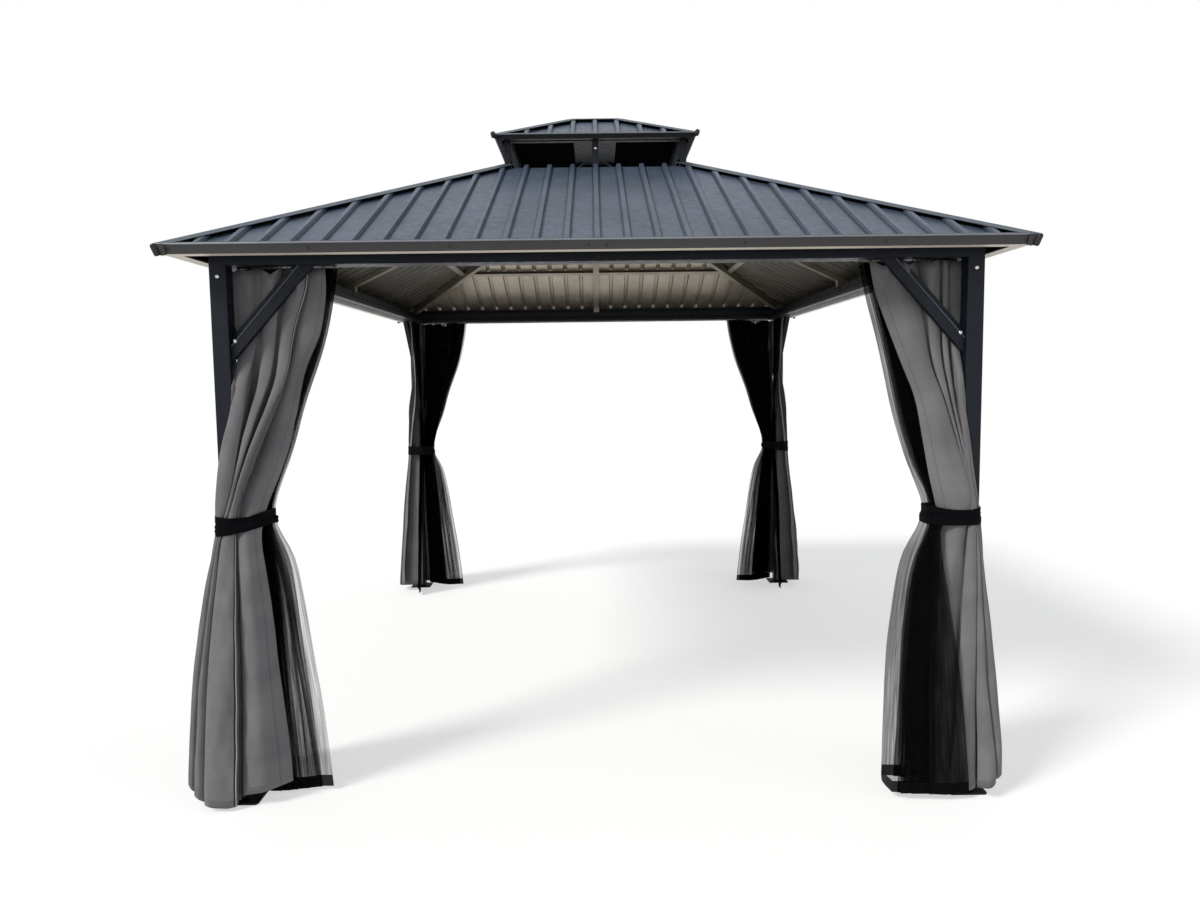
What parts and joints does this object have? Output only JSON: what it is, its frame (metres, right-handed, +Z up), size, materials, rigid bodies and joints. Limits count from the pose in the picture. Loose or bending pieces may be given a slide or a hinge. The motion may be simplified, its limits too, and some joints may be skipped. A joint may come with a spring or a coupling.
{
  "type": "hardtop gazebo",
  "caption": "Open metal garden gazebo with a two-tier ribbed hip roof on four posts, with gathered curtains and mosquito nets tied at the posts.",
  "frame": {"origin": "centre of the plan at ground level, under the middle of the roof", "axes": "+X to the right along the short side, +Y to the back along the long side, +Z up; the front, which is a short side, faces -Y"},
  "size_m": [3, 3.6, 2.8115],
  "materials": {
    "frame_steel": "satin powder coat, blue black",
    "rafter_steel": "grey brown metallic wash coat",
    "plate_steel": "satin powder coat",
    "track_steel": "satin powder coat",
    "roof_steel": "gloss coil coat, charcoal",
    "ridge_steel": "gloss coil coat, charcoal",
    "trim_steel": "semi gloss coil coat, grey brown",
    "corner_steel": "satin powder coat",
    "upper_trim_steel": "gloss coil coat",
    "curtain_fabric": "woven polyester, warm grey",
    "net_fabric": "fine mosquito net, black",
    "tie_fabric": "woven polyester strap, black"
  },
  "bodies": {
    "root": {"beam_back": "frame_steel", "beam_front": "frame_steel", "beam_left": "frame_steel", "beam_right": "frame_steel", "beam_splices": "frame_steel", "centre_rafters": "rafter_steel", "corner_braces": "frame_steel", "curtain_bl": "curtain_fabric", "curtain_br": "curtain_fabric", "curtain_fl": "curtain_fabric", "curtain_fr": "curtain_fabric", "curtain_ties": "tie_fabric", "curtain_tracks": "track_steel", "eave_corners": "corner_steel", "eave_splices": "trim_steel", "eave_trim_x": "trim_steel", "eave_trim_y": "trim_steel", "foot_plates": "plate_steel", "hip_caps": "ridge_steel", "hip_rafters": "rafter_steel", "net_bl": "net_fabric", "net_br": "net_fabric", "net_fl": "net_fabric", "net_fr": "net_fabric", "post_bl": "frame_steel", "post_br": "frame_steel", "post_fl": "frame_steel", "post_fr": "frame_steel", "purlins": "rafter_steel", "roof_back": "roof_steel", "roof_front": "roof_steel", "roof_left": "roof_steel", "roof_right": "roof_steel", "top_cap": "ridge_steel", "top_plate": "frame_steel", "upper_eave_x": "upper_trim_steel", "upper_eave_y": "upper_trim_steel", "upper_hip_caps": "ridge_steel", "upper_rafters": "frame_steel", "upper_ring_x": "frame_steel", "upper_ring_y": "frame_steel", "upper_slopes_x": "roof_steel", "upper_slopes_y": "roof_steel", "vent_posts": "frame_steel", "vent_ring_x": "rafter_steel", "vent_ring_y": "rafter_steel"}
  },
  "joints": []
}
